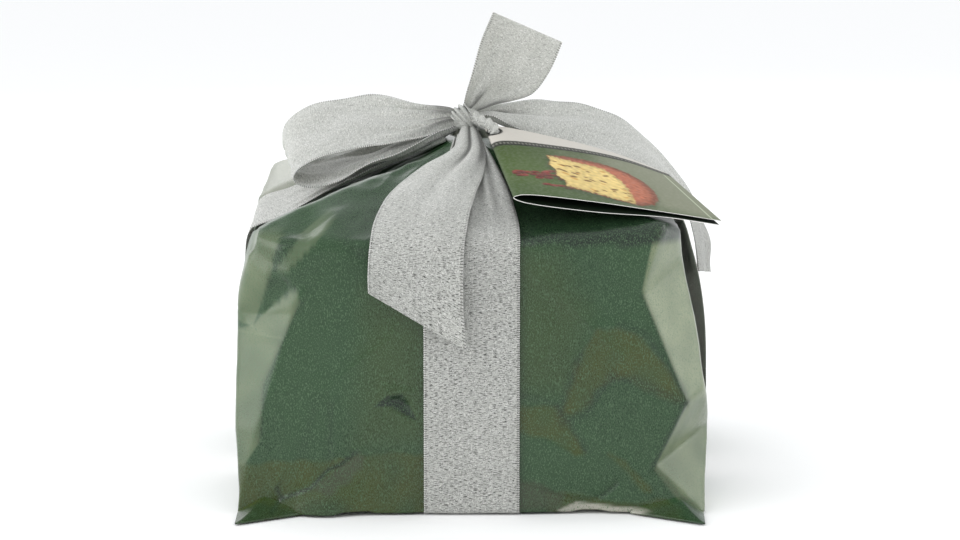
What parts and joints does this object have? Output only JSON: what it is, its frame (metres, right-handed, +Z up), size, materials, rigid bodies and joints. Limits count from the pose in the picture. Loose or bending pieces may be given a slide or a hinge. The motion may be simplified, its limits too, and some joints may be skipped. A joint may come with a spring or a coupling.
{
  "type": "gift-wrapped panettone",
  "caption": "Tall round sweet loaf in its paper mould, folded into dark green glossy film, tied crosswise with a broad silver ribbon and bow, with a folded leaflet at the knot.",
  "frame": {"origin": "on the floor under the centre of the parcel, on the ribbon that crosses under the base", "axes": "+Z up, the front with the bow's tail faces -Y, +X to the right of someone facing the front"},
  "size_m": [0.2061, 0.194, 0.2011],
  "materials": {
    "film": "gloss",
    "ribbon": "satin",
    "card": "satin",
    "mould_paper": "matte",
    "crust": "matte"
  },
  "bodies": {
    "root": {"wrapper": "film", "baking_mould": "mould_paper", "panettone_loaf": "crust", "ribbon_under_lengthwise": "ribbon", "ribbon_under_crosswise": "ribbon", "ribbon_front_band": "ribbon", "ribbon_back_band": "ribbon", "ribbon_left_band": "ribbon", "ribbon_right_band": "ribbon", "ribbon_knot": "ribbon", "bow_left_loop": "ribbon", "bow_front_tail": "ribbon", "bow_right_tail": "ribbon", "bow_up_tail": "ribbon", "leaflet": "card", "leaflet_tie": "ribbon"}
  },
  "joints": []
}
